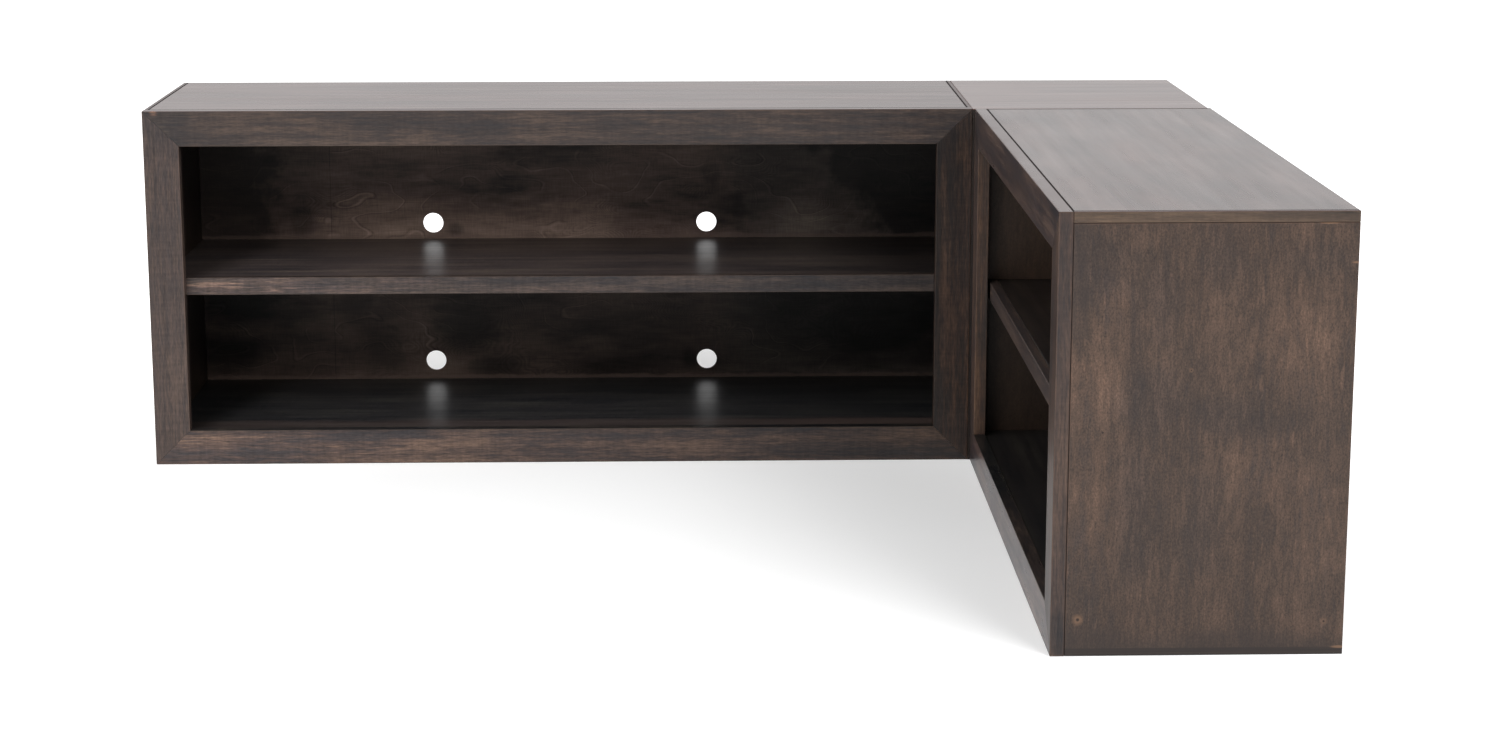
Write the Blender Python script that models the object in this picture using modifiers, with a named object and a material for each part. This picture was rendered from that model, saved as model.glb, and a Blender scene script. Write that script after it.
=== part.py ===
"""Corner console: two open-fronted consoles and a square corner piece between them.

Metres, +Z up. The left console faces -Y, the right console faces -X, and the corner piece
fills the square behind the point where their fronts meet. The origin is on the floor, at the
middle of the whole object's outline.
"""

import math

import bmesh
import bpy
from mathutils import Matrix, Vector

# Overall sizes
CONSOLE_HEIGHT = 0.778
CONSOLE_DEPTH = 0.508
LEFT_LENGTH = 1.778
RIGHT_LENGTH = 1.321

# The right console's face stands this far to the right of the corner piece's left side
RIGHT_FACE_SETBACK = 0.005

# Mitred face frame
FRAME_WIDTH = 0.076
FRAME_THICKNESS = 0.025

# Case
SIDE_THICKNESS = 0.019
END_PANEL_THICKNESS = 0.0095
TOP_THICKNESS = 0.019
TOP_STRIP_WIDTH = 0.0095
BOTTOM_THICKNESS = 0.019
BACK_THICKNESS = 0.006

# The floor of the lower bay lies this far below the top of the bottom rail
FLOOR_STEP = 0.003

# Depth of the grooves in the sides that hold the shelf and the bottom
HOUSING_DEPTH = 0.006

# Shelf, with its height measured at its top face
SHELF_HEIGHT = 0.410
SHELF_THICKNESS = 0.019
SHELF_BACK_GAP = 0.001
NOSING_HEIGHT = 0.038
NOSING_THICKNESS = 0.019

# The nosing's front stands this far behind the back of the face frame
NOSING_SETBACK = 0.006

# Round cord holes in the back, their centres above the board below them
CORD_HOLE_DIAMETER = 0.047
LEFT_HOLE_SPACING = 0.640
RIGHT_HOLE_SPACING = 0.476
UPPER_HOLE_RISE = 0.037
LOWER_HOLE_RISE = 0.044

# Boards under the corner piece's top
CORNER_BOARD_THICKNESS = 0.019

# Clearance between pieces that touch, and the small rounding of the edges that show
FIT = 0.0003
EDGE_ROUNDING = 0.001
EDGE_SEGMENTS = 2
HOLE_SEGMENTS = 48

# Stained wood: colour as seen, 0 to 255, and roughness of the lacquer
FRAME_COLOUR = (96, 82, 73)
END_COLOUR = (88, 74, 65)
TOP_COLOUR = (112, 101, 95)
BAND_COLOUR = (104, 86, 68)
INSIDE_COLOUR = (58, 49, 43)
BACK_COLOUR = (66, 55, 47)
SHOW_ROUGHNESS = 0.38
INSIDE_ROUGHNESS = 0.45
BACK_ROUGHNESS = 0.52


def clear_scene():
    """Start from an empty scene."""
    for item in list(bpy.data.objects):
        bpy.data.objects.remove(item, do_unlink=True)
    for group in list(bpy.data.collections):
        bpy.data.collections.remove(group)


def new_collection(name):
    """A collection linked to the scene."""
    group = bpy.data.collections.new(name)
    bpy.context.scene.collection.children.link(group)
    return group


def linear_colour(colour):
    """The shader's linear value of a colour given as 0 to 255."""
    channels = []
    for value in colour:
        share = value / 255
        if share <= 0.04045:
            channels.append(share / 12.92)
        else:
            channels.append(((share + 0.055) / 1.055) ** 2.4)
    return (*channels, 1.0)


def make_finish(name, colour, roughness):
    """Stained and lacquered wood."""
    finish = bpy.data.materials.new(name + "_finish")
    finish.use_nodes = True
    shader = finish.node_tree.nodes["Principled BSDF"]
    shader.inputs["Base Color"].default_value = linear_colour(colour)
    shader.inputs["Roughness"].default_value = roughness
    shader.inputs["Metallic"].default_value = 0.0
    return finish


def move_to(item, group):
    """Leave an object in one collection only."""
    for owner in list(item.users_collection):
        owner.objects.unlink(item)
    group.objects.link(item)


def add_anchor(name, location, turn, parent, group):
    """An empty that carries one case, in its own directions."""
    anchor = bpy.data.objects.new(name, None)
    anchor.empty_display_size = 0.1
    anchor.location = location
    anchor.rotation_euler = (0.0, 0.0, turn)
    anchor.parent = parent
    group.objects.link(anchor)
    return anchor


def add_box(name, low, high, parent, group):
    """A plain box between two corner points in its parent's space."""
    bpy.ops.mesh.primitive_cube_add(size=1.0)
    box = bpy.context.object
    box.name = name
    box.data.name = name
    box.data.transform(Matrix.Diagonal((*(Vector(high) - Vector(low)), 1.0)))
    box.location = (Vector(low) + Vector(high)) / 2
    box.parent = parent
    move_to(box, group)
    return box


def round_edges(item, limit):
    """Round the edges a little, as sanding leaves them."""
    bevel = item.modifiers.new("edge_rounding", "BEVEL")
    bevel.width = EDGE_ROUNDING
    bevel.segments = EDGE_SEGMENTS
    bevel.limit_method = limit
    bevel.use_clamp_overlap = True


def add_board(name, low, high, colour, roughness, parent, rounded):
    """A board with its finish, and with rounded edges where they show."""
    board = add_box(name, low, high, parent, PARTS)
    board.data.materials.append(make_finish(name, colour, roughness))
    if rounded:
        round_edges(board, "ANGLE")
    return board


def hide_cutter(cutter):
    """Mark a shape that only cuts others."""
    cutter.hide_render = True
    cutter.display_type = "WIRE"


def cut(item, cutter):
    """Take a cutter's shape out of a piece."""
    hole = item.modifiers.new(cutter.name, "BOOLEAN")
    hole.operation = "DIFFERENCE"
    hole.solver = "EXACT"
    hole.object = cutter


def add_frame_member(name, run, centre, turn, parent):
    """A rail or stile with both ends mitred, its long edge turned to the outside."""
    # The mitre faces stand back from the diagonal by half the clearance
    back_off = FIT / math.sqrt(2)
    half_run = run / 2 - back_off
    shape = bmesh.new()
    bmesh.ops.create_cube(shape, size=1.0)
    bmesh.ops.scale(shape, vec=(2 * half_run, FRAME_THICKNESS, FRAME_WIDTH), verts=shape.verts)
    for corner in shape.verts:
        if corner.co.z < 0:
            corner.co.x -= math.copysign(FRAME_WIDTH, corner.co.x)
    rounding = shape.edges.layers.float.new("bevel_weight_edge")
    for edge in shape.edges:
        start, end = edge.verts
        if abs(start.co.z - end.co.z) < 1e-6 and abs(start.co.y - end.co.y) < 1e-6:
            edge[rounding] = 1.0
    mesh = bpy.data.meshes.new(name)
    shape.to_mesh(mesh)
    shape.free()
    member = bpy.data.objects.new(name, mesh)
    member.location = centre
    member.rotation_euler = (0.0, turn, 0.0)
    member.parent = parent
    PARTS.objects.link(member)
    mesh.materials.append(make_finish(name, FRAME_COLOUR, SHOW_ROUGHNESS))
    round_edges(member, "WEIGHT")
    return member


def build_face_frame(prefix, length, ends, anchor):
    """Two rails and two stiles, mitred at the corners, as high as the console."""
    middle = FRAME_THICKNESS / 2
    half = FRAME_WIDTH / 2
    high = CONSOLE_HEIGHT
    add_frame_member(prefix + "_frame_top_rail", length, (length / 2, middle, high - half), 0.0, anchor)
    add_frame_member(prefix + "_frame_bottom_rail", length, (length / 2, middle, half), math.pi, anchor)
    first = prefix + "_frame_stile_" + ends[0]
    last = prefix + "_frame_stile_" + ends[1]
    add_frame_member(first, high, (half, middle, high / 2), -math.pi / 2, anchor)
    add_frame_member(last, high, (length - half, middle, high / 2), math.pi / 2, anchor)


def across(start, end, length, mirrored):
    """A span measured from one end of a console, or from the other."""
    return (length - end, length - start) if mirrored else (start, end)


def build_case_end(prefix, end, mirrored, length, anchor):
    """Case side with its housings, thin end panel, and solid strip along the top's end."""
    case_front = FRAME_THICKNESS + FIT
    under_top = CONSOLE_HEIGHT - TOP_THICKNESS - FIT
    side_start = END_PANEL_THICKNESS + FIT
    side_end = side_start + SIDE_THICKNESS
    side_back = CONSOLE_DEPTH - BACK_THICKNESS - FIT
    low_x, high_x = across(side_start, side_end, length, mirrored)
    side = add_board(
        prefix + "_side_" + end,
        (low_x, case_front, 0.0),
        (high_x, side_back, under_top),
        INSIDE_COLOUR, INSIDE_ROUGHNESS, anchor, False,
    )
    # Grooves for the shelf and for the bottom, open at the back; the shelf's stops at the nosing
    floor_height = FRAME_WIDTH - FLOOR_STEP
    nosing_back = FRAME_THICKNESS + NOSING_SETBACK + NOSING_THICKNESS
    housings = (
        ("shelf", nosing_back, SHELF_HEIGHT, SHELF_THICKNESS),
        ("bottom", 0.0, floor_height, BOTTOM_THICKNESS),
    )
    low_x, high_x = across(side_end - HOUSING_DEPTH, side_end + HOUSING_DEPTH, length, mirrored)
    for board, start, top, thickness in housings:
        cutter = add_box(
            prefix + "_side_" + end + "_" + board + "_housing",
            (low_x, start, top - thickness - FIT),
            (high_x, CONSOLE_DEPTH, top + FIT),
            anchor, CUTTERS,
        )
        hide_cutter(cutter)
        cut(side, cutter)
    low_x, high_x = across(0.0, END_PANEL_THICKNESS, length, mirrored)
    add_board(
        prefix + "_end_panel_" + end,
        (low_x, case_front, 0.0),
        (high_x, CONSOLE_DEPTH, under_top),
        END_COLOUR, SHOW_ROUGHNESS, anchor, True,
    )
    low_x, high_x = across(0.0, TOP_STRIP_WIDTH, length, mirrored)
    add_board(
        prefix + "_top_strip_" + end,
        (low_x, case_front, CONSOLE_HEIGHT - TOP_THICKNESS),
        (high_x, CONSOLE_DEPTH, CONSOLE_HEIGHT),
        BAND_COLOUR, SHOW_ROUGHNESS, anchor, True,
    )


def build_top(prefix, length, anchor):
    """Top board between the two end strips, behind the face frame."""
    return add_board(
        prefix + "_top_panel",
        (TOP_STRIP_WIDTH + FIT, FRAME_THICKNESS + FIT, CONSOLE_HEIGHT - TOP_THICKNESS),
        (length - TOP_STRIP_WIDTH - FIT, CONSOLE_DEPTH, CONSOLE_HEIGHT),
        TOP_COLOUR, SHOW_ROUGHNESS, anchor, True,
    )


def build_bottom(prefix, length, anchor):
    """Floor of the lower bay, held in the sides' lower grooves."""
    reach = END_PANEL_THICKNESS + FIT + SIDE_THICKNESS - HOUSING_DEPTH + FIT
    floor_height = FRAME_WIDTH - FLOOR_STEP
    return add_board(
        prefix + "_bottom_panel",
        (reach, FRAME_THICKNESS + FIT, floor_height - BOTTOM_THICKNESS),
        (length - reach, CONSOLE_DEPTH - BACK_THICKNESS - FIT, floor_height),
        INSIDE_COLOUR, INSIDE_ROUGHNESS, anchor, False,
    )


def build_shelf(prefix, length, anchor):
    """Shelf board held in the sides' upper grooves, with a deep solid nosing in front."""
    side_face = END_PANEL_THICKNESS + FIT + SIDE_THICKNESS
    reach = side_face - HOUSING_DEPTH + FIT
    nosing_front = FRAME_THICKNESS + NOSING_SETBACK
    nosing_back = nosing_front + NOSING_THICKNESS
    add_board(
        prefix + "_shelf_panel",
        (reach, nosing_back + FIT, SHELF_HEIGHT - SHELF_THICKNESS),
        (length - reach, CONSOLE_DEPTH - BACK_THICKNESS - SHELF_BACK_GAP, SHELF_HEIGHT),
        INSIDE_COLOUR, INSIDE_ROUGHNESS, anchor, True,
    )
    add_board(
        prefix + "_shelf_nosing",
        (side_face + FIT, nosing_front, SHELF_HEIGHT - NOSING_HEIGHT),
        (length - side_face - FIT, nosing_back, SHELF_HEIGHT),
        FRAME_COLOUR, SHOW_ROUGHNESS, anchor, True,
    )


def build_back(prefix, length, hole_spacing, anchor):
    """Thin back between the end panels, with two cord holes to each bay."""
    inset = END_PANEL_THICKNESS + FIT
    back = add_board(
        prefix + "_back_panel",
        (inset, CONSOLE_DEPTH - BACK_THICKNESS, 0.0),
        (length - inset, CONSOLE_DEPTH, CONSOLE_HEIGHT - TOP_THICKNESS - FIT),
        BACK_COLOUR, BACK_ROUGHNESS, anchor, False,
    )
    floor_height = FRAME_WIDTH - FLOOR_STEP
    rows = (
        ("upper", SHELF_HEIGHT + UPPER_HOLE_RISE),
        ("lower", floor_height + LOWER_HOLE_RISE),
    )
    for row, height in rows:
        for index, side in enumerate((-1, 1)):
            bpy.ops.mesh.primitive_cylinder_add(
                vertices=HOLE_SEGMENTS,
                radius=CORD_HOLE_DIAMETER / 2,
                depth=4 * BACK_THICKNESS,
                rotation=(math.pi / 2, 0.0, 0.0),
            )
            cutter = bpy.context.object
            cutter.name = prefix + "_back_" + row + "_cord_hole_" + str(index + 1)
            cutter.location = (
                length / 2 + side * hole_spacing / 2,
                CONSOLE_DEPTH - BACK_THICKNESS / 2,
                height,
            )
            cutter.parent = anchor
            move_to(cutter, CUTTERS)
            hide_cutter(cutter)
            cut(back, cutter)
    return back


def build_console(prefix, length, hole_spacing, ends, anchor):
    """A whole console. Its face is at y = 0 and it runs from x = 0 to its length."""
    build_face_frame(prefix, length, ends, anchor)
    build_case_end(prefix, ends[0], False, length, anchor)
    build_case_end(prefix, ends[1], True, length, anchor)
    build_bottom(prefix, length, anchor)
    build_back(prefix, length, hole_spacing, anchor)
    build_top(prefix, length, anchor)
    build_shelf(prefix, length, anchor)


def build_corner(anchor):
    """Square top on four upright boards, two outside and two against the consoles."""
    side = CONSOLE_DEPTH
    board = CORNER_BOARD_THICKNESS
    under_top = CONSOLE_HEIGHT - TOP_THICKNESS - FIT
    add_board(
        "corner_top_panel",
        (0.0, 0.0, CONSOLE_HEIGHT - TOP_THICKNESS),
        (side, side, CONSOLE_HEIGHT),
        TOP_COLOUR, SHOW_ROUGHNESS, anchor, True,
    )
    add_board(
        "corner_back_board",
        (0.0, side - board, 0.0),
        (side, side, under_top),
        END_COLOUR, SHOW_ROUGHNESS, anchor, True,
    )
    add_board(
        "corner_end_board",
        (side - board, 0.0, 0.0),
        (side, side - board - FIT, under_top),
        END_COLOUR, SHOW_ROUGHNESS, anchor, True,
    )
    add_board(
        "corner_inner_board_left",
        (0.0, 0.0, 0.0),
        (board, side - board - FIT, under_top),
        INSIDE_COLOUR, INSIDE_ROUGHNESS, anchor, False,
    )
    add_board(
        "corner_inner_board_front",
        (board + FIT, 0.0, 0.0),
        (side - board - FIT, board, under_top),
        INSIDE_COLOUR, INSIDE_ROUGHNESS, anchor, False,
    )


def build_all():
    """Stand the corner piece and the two consoles together."""
    low_x = -FIT - LEFT_LENGTH
    high_x = CONSOLE_DEPTH + max(RIGHT_FACE_SETBACK, 0.0)
    low_y = -FIT - RIGHT_LENGTH
    high_y = CONSOLE_DEPTH
    centre = Vector(((low_x + high_x) / 2, (low_y + high_y) / 2, 0.0))
    meeting = add_anchor("meeting_point", -centre, 0.0, None, PARTS)
    left = add_anchor("left_console_place", (low_x, 0.0, 0.0), 0.0, meeting, PARTS)
    right = add_anchor(
        "right_console_place", (RIGHT_FACE_SETBACK, -FIT, 0.0), -math.pi / 2, meeting, PARTS,
    )
    corner = add_anchor("corner_place", (0.0, 0.0, 0.0), 0.0, meeting, PARTS)
    build_console("left", LEFT_LENGTH, LEFT_HOLE_SPACING, ("outer", "inner"), left)
    build_console("right", RIGHT_LENGTH, RIGHT_HOLE_SPACING, ("inner", "outer"), right)
    build_corner(corner)
    bpy.context.view_layer.update()


clear_scene()
PARTS = new_collection("corner_console")
CUTTERS = new_collection("cutters")
build_all()
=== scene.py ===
"""Looks of the corner console.

Stained wood on each board, a white studio floor, light and camera, all around the
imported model. Lengths are in metres.
"""

import math

import bpy
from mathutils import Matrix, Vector


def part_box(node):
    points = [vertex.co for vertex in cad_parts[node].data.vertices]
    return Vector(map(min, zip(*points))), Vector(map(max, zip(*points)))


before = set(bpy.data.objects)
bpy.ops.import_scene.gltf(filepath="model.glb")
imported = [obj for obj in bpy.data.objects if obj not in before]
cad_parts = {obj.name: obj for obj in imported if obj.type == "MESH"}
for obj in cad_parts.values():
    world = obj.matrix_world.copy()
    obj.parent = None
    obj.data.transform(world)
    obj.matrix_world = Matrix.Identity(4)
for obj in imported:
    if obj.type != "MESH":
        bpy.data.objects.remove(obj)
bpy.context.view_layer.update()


def linear(code):
    """A colour written as six hexadecimal sRGB digits, as linear values."""
    values = [int(code[k : k + 2], 16) / 255 for k in (0, 2, 4)]
    return tuple(
        v / 12.92 if v <= 0.04045 else ((v + 0.055) / 1.055) ** 2.4 for v in values
    ) + (1.0,)


# ---------------------------------------------------------------- node helpers


class Net:
    """A node tree with short calls for adding joined nodes."""

    def __init__(self, tree):
        self.tree = tree

    def add(self, kind, inputs=None, **settings):
        """A new node, its inputs set to constants or joined to outputs."""
        node = self.tree.nodes.new("ShaderNode" + kind)
        for key, value in settings.items():
            setattr(node, key, value)
        for key, value in (inputs or {}).items():
            self.feed(node.inputs[key], value)
        return node

    def feed(self, socket, value):
        """Join an input to an output, or set it to a constant."""
        if isinstance(value, bpy.types.NodeSocket):
            self.tree.links.new(value, socket)
        else:
            socket.default_value = value

    def math(self, operation, a, b=0.0, c=0.0):
        return self.add("Math", {0: a, 1: b, 2: c}, operation=operation).outputs[0]

    def vector(self, operation, a, b):
        return self.add("VectorMath", {0: a, 1: b}, operation=operation).outputs[0]

    def parts(self, value):
        """The x, y and z of a vector."""
        return self.add("SeparateXYZ", {0: value}).outputs

    def joined(self, x, y, z):
        """The vector of an x, a y and a z."""
        return self.add("CombineXYZ", {0: x, 1: y, 2: z}).outputs[0]

    def length(self, value):
        node = self.add("VectorMath", {0: value}, operation="LENGTH")
        return node.outputs["Value"]

    def distance(self, a, b):
        node = self.add("VectorMath", {0: a, 1: b}, operation="DISTANCE")
        return node.outputs["Value"]

    def sum(self, first, *rest):
        for value in rest:
            first = self.math("ADD", first, value)
        return first

    def scaled(self, value, factor, offset=0.0):
        return self.math("MULTIPLY_ADD", value, factor, offset)

    def away(self, value, middle):
        """How far a value is from a constant."""
        return self.math("ABSOLUTE", self.scaled(value, 1.0, -middle))

    def noise(self, at, scale, detail=2.0, roughness=0.5, distortion=0.0):
        """Noise stretched by a scale for each axis, about 0.5 in the mean."""
        node = self.add(
            "TexNoise",
            {
                "Vector": self.vector("MULTIPLY", at, scale),
                "Scale": 1.0,
                "Detail": detail,
                "Roughness": roughness,
                "Distortion": distortion,
            },
        )
        return node.outputs[0]

    def step(self, value, low, high):
        """0 below low and 1 above high, or the reverse where low is above high."""
        flip = low > high
        node = self.add(
            "MapRange",
            {
                "Value": value,
                "From Min": min(low, high),
                "From Max": max(low, high),
                "To Min": float(flip),
                "To Max": float(not flip),
            },
            interpolation_type="SMOOTHSTEP",
        )
        return node.outputs[0]

    def ridge(self, value, rise, fall):
        """1 between a rise and a fall, for a value that starts again after it."""
        return self.math("SUBTRACT", self.step(value, *rise), self.step(value, *fall))

    def within(self, value, rise, fall):
        """1 between a rise and a fall, the fall written with its higher end first."""
        return self.math("MULTIPLY", self.step(value, *rise), self.step(value, *fall))

    def mix(self, factor, a, b, blend="MIX"):
        """Colour a turned to b by a factor."""
        node = self.add("Mix", data_type="RGBA", blend_type=blend)
        self.feed(node.inputs[0], factor)
        self.feed(node.inputs[6], a)
        self.feed(node.inputs[7], b)
        return node.outputs[2]

    def ramp(self, value, stops):
        """A colour from a list of places and colours."""
        node = self.add("ValToRGB", {0: value})
        points = node.color_ramp.elements
        while len(points) < len(stops):
            points.new(0.5)
        for point, (place, colour) in zip(points, stops):
            point.position = place
            point.color = colour
        return node.outputs[0]

    def shade(self, colour, amount):
        """A colour times a grey amount."""
        grey = self.add("CombineColor", {0: amount, 1: amount, 2: amount}).outputs[0]
        return self.mix(1.0, colour, grey, "MULTIPLY")


# ---------------------------------------------------------------- wood patterns
# Each pattern takes the board's point p, its grain along x, moved to a place of its
# own in the noise, and the same point from the board's middle. It returns the colour,
# a tone for the gloss and a height for the bump.

SLATE, BROWN, TAN = 0, 1, 2
SAWN_STOPS = (0.39, 0.50, 0.62)
SLICED_STOPS = (0.39, 0.50, 0.63)
ROTARY_STOPS = (0.32, 0.49, 0.66)
RINGS_PER_METRE = 230.0
PITH = (0.008, 0.045)
VEIN_WIDTH = 0.014
SLICED_CONTOURS = 9.0
ROTARY_CONTOURS = 11.0
ROTARY_ECHOES = 620.0


def wander(net, p, reach, along, across):
    """The board's point moved slowly sideways, so that the grain isn't straight."""
    drift = net.scaled(net.noise(p, (along, across, across), 2.0), reach * 2, -reach)
    return net.vector("ADD", p, net.joined(0.0, drift, drift))


def vein(net, value, width):
    """1 on the thin lines where a noise passes its mean."""
    return net.step(net.away(value, 0.5), width, width * 0.3)


def stain(net, tone, look, stops):
    """The board's three colours along a tone, with the board's own contrast."""
    contrast = look["contrast"]
    tone = net.scaled(tone, contrast, 0.5 - 0.5 * contrast)
    return net.ramp(tone, list(zip(stops, look["tones"])))


def sawn(net, p, local, look):
    """Plain-sawn board: streaks, short dashes, growth rings, veins and faint curl."""
    bent = wander(net, p, 0.010, 1.3, 5.0)
    streak = net.noise(bent, (2.4, 46, 46), 3.0, 0.55)
    dash = net.noise(bent, look["dash"], 3.0, 0.6)
    patch = net.noise(p, (4.0, 13, 13), 3.0, 0.55)
    tone = net.sum(*map(net.scaled, (streak, dash, patch), look["shares"]))
    colour = stain(net, tone, look, SAWN_STOPS)
    section = net.parts(wander(net, local, 0.012, 1.1, 4.0))[1:]
    squares = [
        net.math("POWER", net.scaled(part, 1.0, offset), 2.0)
        for part, offset in zip(section, PITH)
    ]
    radius = net.math("SQRT", net.sum(*squares))
    ring = net.math("FRACT", net.scaled(radius, RINGS_PER_METRE))
    late = net.ridge(ring, (0.45, 0.92), (0.93, 1.0))
    lines = vein(net, net.noise(bent, (1.3, 30, 30), 3.0, 0.6), VEIN_WIDTH)
    fibre = net.noise(p, (70, 460, 460), 2.0, 0.7)
    curl = net.noise(p, (150, 16, 16), 1.0)
    fine, rings = look["fine"], look["rings"]
    amount = net.sum(
        net.scaled(fibre, 0.90 * fine, 1.0 - 0.45 * fine),
        net.scaled(late, -0.13 * rings, 0.03 * rings),
        net.scaled(lines, -0.16 * rings),
        net.scaled(curl, 0.30 * fine, -0.15 * fine),
    )
    height = net.sum(net.scaled(fibre, 0.7), net.scaled(late, 0.3))
    return net.shade(colour, amount), streak, height


def sliced(net, p, local, look):
    """Plain-sliced veneer: clouds, dark streaks, pale dashes, contours and speckle."""
    bent = wander(net, p, 0.03, 2.0, 4.0)
    cloud = net.noise(bent, (2.8, 8, 8), 4.0, 0.55, 0.4)
    streak = net.noise(bent, (4.5, 45, 45), 3.0, 0.55)
    fleck = net.noise(bent, (26, 120, 120), 3.0, 0.65)
    tone = net.sum(
        net.scaled(cloud, 0.40), net.scaled(streak, 0.24), net.scaled(fleck, 0.36)
    )
    colour = stain(net, tone, look, SLICED_STOPS)
    long_streak = net.step(net.noise(bent, (2.0, 24, 24), 2.0, 0.5), 0.38, 0.28)
    colour = net.mix(net.scaled(long_streak, 0.35), colour, look["tones"][SLATE])
    dash = net.step(net.noise(bent, (13, 95, 95), 2.0, 0.5), 0.64, 0.78)
    colour = net.mix(net.scaled(dash, 0.7), colour, look["tones"][TAN])
    field = net.noise(bent, (4, 11, 11), 3.0)
    contour = net.math("FRACT", net.scaled(field, SLICED_CONTOURS))
    line = net.ridge(contour, (0.90, 0.96), (0.97, 1.0))
    shown = net.step(net.noise(p, (7, 7, 7), 2.0), 0.50, 0.60)
    grit = net.noise(p, (210, 320, 320), 2.0, 0.7)
    fibre = net.noise(bent, (50, 520, 520), 3.0, 0.65)
    fine = look["fine"]
    amount = net.sum(
        net.scaled(fibre, 0.40 * fine, 1.0 - 0.65 * fine),
        net.scaled(grit, 0.90 * fine),
        net.math("MULTIPLY", net.scaled(line, -0.18), shown),
    )
    return net.shade(colour, amount), cloud, fibre


def rotary(net, p, local, look):
    """Rotary-cut veneer: wandering ridges with echoes, crossed fibres, soft clouds."""
    field = net.noise(p, (3.4, 6.5, 1.0), 2.5, 0.42)
    cloud = net.noise(p, (2.6, 6.0, 1.0), 3.0, 0.5, 0.3)
    fleck = net.noise(p, (14, 60, 10), 3.0, 0.6)
    tone = net.sum(net.scaled(cloud, 0.74), net.scaled(fleck, 0.26))
    colour = stain(net, tone, look, ROTARY_STOPS)
    contour = net.math("FRACT", net.scaled(field, ROTARY_CONTOURS))
    shown = net.step(net.noise(p, (5, 8, 1), 2.0), 0.44, 0.54)
    lit = net.ridge(contour, (0.88, 0.93), (0.94, 0.99))
    shaded = net.step(contour, 0.06, 0.01)
    ridge = net.math("SUBTRACT", net.scaled(lit, 0.42), net.scaled(shaded, 0.30))
    echo = net.math("SINE", net.scaled(field, ROTARY_ECHOES))
    near = net.step(net.noise(p, (5, 9, 2), 1.0), 0.48, 0.62)
    cross = net.noise(p, (330, 36, 10), 2.0, 0.6)
    fibre = net.noise(p, (18, 400, 10), 3.0, 0.65)
    amount = net.sum(
        net.math("MULTIPLY", ridge, shown),
        net.math("MULTIPLY", net.scaled(echo, 0.15), near),
        net.scaled(cross, 0.60, 0.70),
        net.scaled(fibre, 0.84, -0.42),
    )
    return net.shade(colour, amount), cloud, fibre


# ---------------------------------------------------------------- marks on one board
# A mark takes the place on the object, the board's point, the colour so far and the
# board's three tones, and returns the new colour. Pairs of levels are the two ends of
# a soft step.

DARK_GROOVE = (0.0100, 0.0052, 0.0046, 1.0)
BAND_TINT = linear("5e4d47")
CROWN = linear("4b3836")
SKIRT = linear("2b2422")
RUBBED = linear("8a6a52")
FLAME = (2.3, 2.1, 1.95, 1.0)
RAIL_PAINTED_LIGHT = (1.45, 1.42, 1.36, 1.0)
RUBBED_CORNER = (6.5, 4.6, 3.2, 1.0)
SAME = (1.0, 1.0, 1.0, 1.0)

CLOUD_EDGE = (1.6, 0.4)
PATCH_EDGE = (1.4, 0.3)
CROWN_LEVELS = (0.7768, 0.7776)
SKIRT_LEVELS = (0.7770, 0.7755)
LEDGE_LEVELS = (0.0746, 0.0754)
LEDGE_CORNER_SHADE = (-0.32, -0.05)
RIM_LEVELS = (0.061, 0.069)
REVEAL_EDGE = (0.0025, 0.0008)
LEVEL_BLUR = 0.03


def far_from(net, place, centre, reach):
    """How many reaches a place is from a centre; a reach of 0 leaves its axis out."""
    way = net.vector("SUBTRACT", place, centre)
    way = net.vector("MULTIPLY", way, tuple(1 / r if r else 0.0 for r in reach))
    return net.length(way)


def clouds(net, place, colour, tones, spots):
    """Ragged clouds, darker or paler: stain, and on the left back also painted light
    and shade.

    A spot is a place, a reach on each axis and an amount, below 0 for darker.
    """
    ragged = net.scaled(net.noise(place, (8, 8, 17), 4.0, 0.6), 2.0, -1.0)
    shown = {SLATE: None, TAN: None}
    for centre, reach, amount in spots:
        far = net.sum(far_from(net, place, centre, reach), ragged)
        cloud = net.scaled(net.step(far, *CLOUD_EDGE), abs(amount))
        tone = SLATE if amount < 0 else TAN
        shown[tone] = net.math("MAXIMUM", shown[tone], cloud) if shown[tone] else cloud
    for tone, cloud in shown.items():
        if cloud:
            gain = tuple(a / b for a, b in zip(tones[tone], tones[BROWN]))
            colour = net.mix(cloud, colour, gain, "MULTIPLY")
    return colour


def face_clouds(rows):
    """Spots on a face across y, from rows of x, z, reach on x and z, and amount."""
    return [((x, 0.0, z), (rx, 0.0, rz), amount) for x, z, rx, rz, amount in rows]


def cloud_marks(spots):
    """Ragged clouds, each spot as clouds() takes it."""

    def marks(net, place, p, colour, tones):
        return clouds(net, place, colour, tones, spots)

    return marks


def mitre_marks(corners):
    """Slate stain gathered about a frame's mitred corners."""
    return cloud_marks([(corner, (0.07, 0.07, 0.055), -0.55) for corner in corners])


def tinted_marks(spots):
    """Small ragged patches: place, reach, how many times paler, and strength."""

    def marks(net, place, p, colour, tones):
        ragged = net.scaled(net.noise(p, (9, 210, 210), 4.0, 0.65), 5.0, -2.5)
        for centre, reach, tint, strength in spots:
            far = net.sum(far_from(net, place, centre, reach), ragged)
            shown = net.scaled(net.step(far, *PATCH_EDGE), strength)
            colour = net.mix(shown, colour, tint, "MULTIPLY")
        return colour

    return marks


def spot(net, place, centre, radius, inner=0.4):
    """1 at a place on the board, 0 beyond a radius from it."""
    return net.step(net.distance(place, centre), radius, radius * inner)


def crown_marks(net, place, p, colour, tones):
    """The rail's or strip's upper face, stained with the top."""
    return net.mix(net.step(net.parts(place)[2], *CROWN_LEVELS), colour, CROWN)


def skirt_marks(net, place, p, colour, tones):
    """A top's narrow edges, stained as dark as the fronts."""
    return net.mix(net.step(net.parts(place)[2], *SKIRT_LEVELS), colour, SKIRT)


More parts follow.
